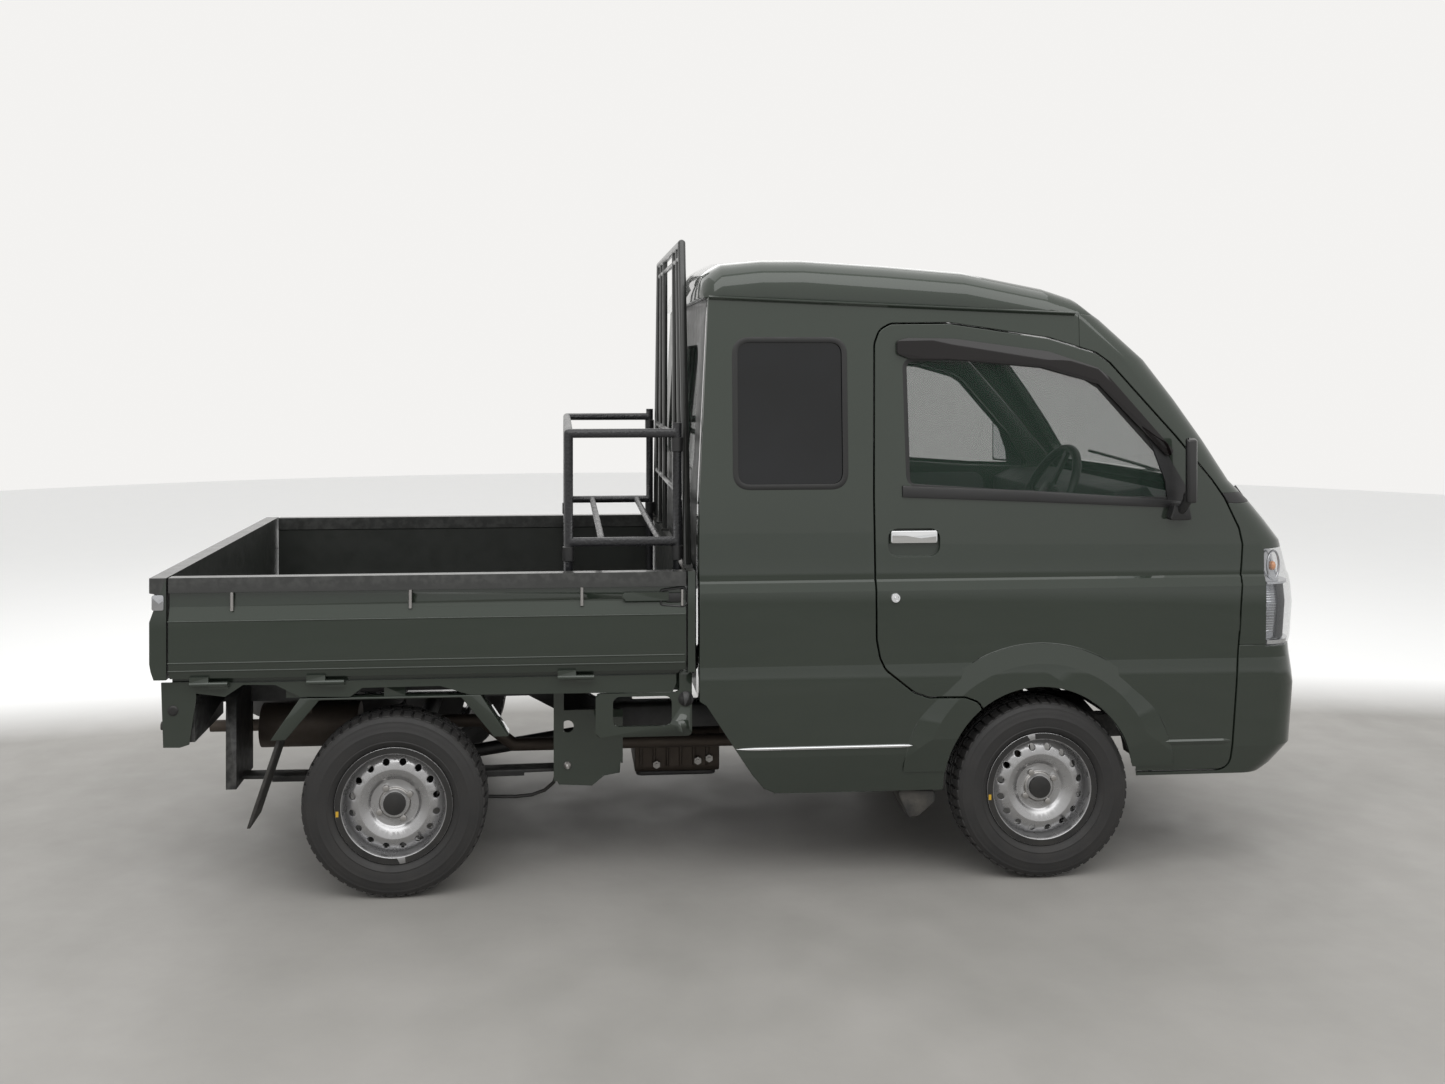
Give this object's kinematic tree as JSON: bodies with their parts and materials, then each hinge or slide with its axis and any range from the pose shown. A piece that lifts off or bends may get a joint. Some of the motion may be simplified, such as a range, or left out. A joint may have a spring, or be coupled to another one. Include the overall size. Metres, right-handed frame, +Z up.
{
  "type": "kei truck with extended cab and drop-side bed",
  "caption": "Small cab-over truck with a high-roof extended cab, drop-side load bed, pipe guard and rack, opening doors and gates, steering and rolling wheels.",
  "frame": {"origin": "on the ground, at the middle of the length and width", "axes": "+X forward, +Y to the vehicle's left, +Z up"},
  "size_m": [3.395, 1.766, 1.917],
  "materials": {
    "body_paint": "dark olive metallic gloss",
    "rail_paint": "dark painted frame",
    "chassis_black": "black underbody paint",
    "bare_steel": "dull steel",
    "cast_metal": "raw casting",
    "wheel_silver": "silver paint",
    "tyre": "rubber",
    "black_plastic": "grained",
    "smoke_plastic": "smoked gloss",
    "lamp_clear": "clear lens",
    "lamp_red": "red lens",
    "glass_clear": "clear green tint",
    "glass_dark": "privacy tint",
    "interior_grey": "grained",
    "seat_fabric": "woven",
    "mud_rubber": "matt",
    "tape_black": "taped pipe"
  },
  "bodies": {
    "root": {"bed_floor": "body_paint", "bed_front_board": "body_paint", "cab_floor": "chassis_black", "cab_rear_panel": "body_paint", "cab_side_left": "body_paint", "cab_side_right": "body_paint", "chassis_frame": "chassis_black", "cowl": "black_plastic", "dashboard": "interior_grey", "engine_block": "cast_metal", "exhaust": "bare_steel", "front_bumper": "body_paint", "front_grille": "black_plastic", "front_panel": "body_paint", "front_suspension": "chassis_black", "fuel_tank": "chassis_black", "gearbox": "cast_metal", "guard_frame": "rail_paint", "headlamps": "lamp_clear", "mud_flaps": "mud_rubber", "quarter_glass": "glass_dark", "rear_axle": "chassis_black", "rear_stays": "body_paint", "rear_window": "glass_clear", "roof_panel": "body_paint", "seat_left": "seat_fabric", "seat_right": "seat_fabric", "side_skirts": "body_paint", "spare_wheel": "tyre", "tail_lamps": "lamp_red", "tube_rack": "tape_black", "windscreen": "glass_clear", "windscreen_frame": "body_paint"},
    "door_right": {"door_right": "body_paint", "door_glass_right": "glass_clear", "door_visor_right": "smoke_plastic", "door_mirror_right": "black_plastic"},
    "side_gate_right": {"side_gate_right": "body_paint"},
    "hub_right": {"knuckle_right": "cast_metal"},
    "wheel_front_right": {"tyre_front_right": "tyre", "rim_front_right": "wheel_silver"},
    "wheel_rear_right": {"tyre_rear_right": "tyre", "rim_rear_right": "wheel_silver"},
    "door_left": {"door_left": "body_paint", "door_glass_left": "glass_clear", "door_visor_left": "smoke_plastic", "door_mirror_left": "black_plastic"},
    "side_gate_left": {"side_gate_left": "body_paint"},
    "hub_left": {"knuckle_left": "cast_metal"},
    "wheel_front_left": {"tyre_front_left": "tyre", "rim_front_left": "wheel_silver"},
    "wheel_rear_left": {"tyre_rear_left": "tyre", "rim_rear_left": "wheel_silver"},
    "tailgate": {"tailgate": "body_paint"},
    "steering_wheel": {"steering_wheel": "interior_grey"}
  },
  "joints": [
    {"name": "door_right_hinge", "type": "hinge", "parent": "root", "child": "door_right", "pos_m": [1.491, -0.7395, 0.8], "axis": [0, 0, 1], "range_deg": [0, 65]},
    {"name": "side_gate_right_hinge", "type": "hinge", "parent": "root", "child": "side_gate_right", "pos_m": [-0.9, -0.7305, 0.63], "axis": [1, 0, 0], "range_deg": [0, 180]},
    {"name": "door_left_hinge", "type": "hinge", "parent": "root", "child": "door_left", "pos_m": [1.491, 0.7395, 0.8], "axis": [0, 0, -1], "range_deg": [0, 65]},
    {"name": "side_gate_left_hinge", "type": "hinge", "parent": "root", "child": "side_gate_left", "pos_m": [-0.9, 0.7305, 0.63], "axis": [-1, 0, 0], "range_deg": [0, 180]},
    {"name": "tailgate_hinge", "type": "hinge", "parent": "root", "child": "tailgate", "pos_m": [-1.6895, 0, 0.63], "axis": [0, -1, 0], "range_deg": [0, 180]},
    {"name": "steer_left", "type": "hinge", "parent": "root", "child": "hub_left", "pos_m": [0.8775, 0.607, 0.19], "axis": [-0.0436, -0.2469, 0.9681], "range_deg": [-36, 36]},
    {"name": "steer_right", "type": "hinge", "parent": "root", "child": "hub_right", "pos_m": [0.8775, -0.607, 0.19], "axis": [-0.0436, 0.2469, 0.9681], "range_deg": [-36, 36]},
    {"name": "steering_wheel_turn", "type": "hinge", "parent": "root", "child": "steering_wheel", "pos_m": [1.042, -0.37, 1.093], "axis": [-0.8988, 0, 0.4384], "range_deg": [-576, 576]},
    {"name": "roll_front_right", "type": "hinge", "parent": "hub_right", "child": "wheel_front_right", "pos_m": [0.8775, -0.6525, 0.265], "axis": [0, 1, 0], "continuous": true},
    {"name": "roll_front_left", "type": "hinge", "parent": "hub_left", "child": "wheel_front_left", "pos_m": [0.8775, 0.6525, 0.265], "axis": [0, 1, 0], "continuous": true},
    {"name": "roll_rear_right", "type": "hinge", "parent": "root", "child": "wheel_rear_right", "pos_m": [-1.0275, -0.645, 0.265], "axis": [0, 1, 0], "continuous": true},
    {"name": "roll_rear_left", "type": "hinge", "parent": "root", "child": "wheel_rear_left", "pos_m": [-1.0275, 0.645, 0.265], "axis": [0, 1, 0], "continuous": true}
  ],
  "couplings": [
    {"joint": "steer_right", "follows": "steer_left", "ratio": 1},
    {"joint": "steering_wheel_turn", "follows": "steer_left", "ratio": 16}
  ]
}
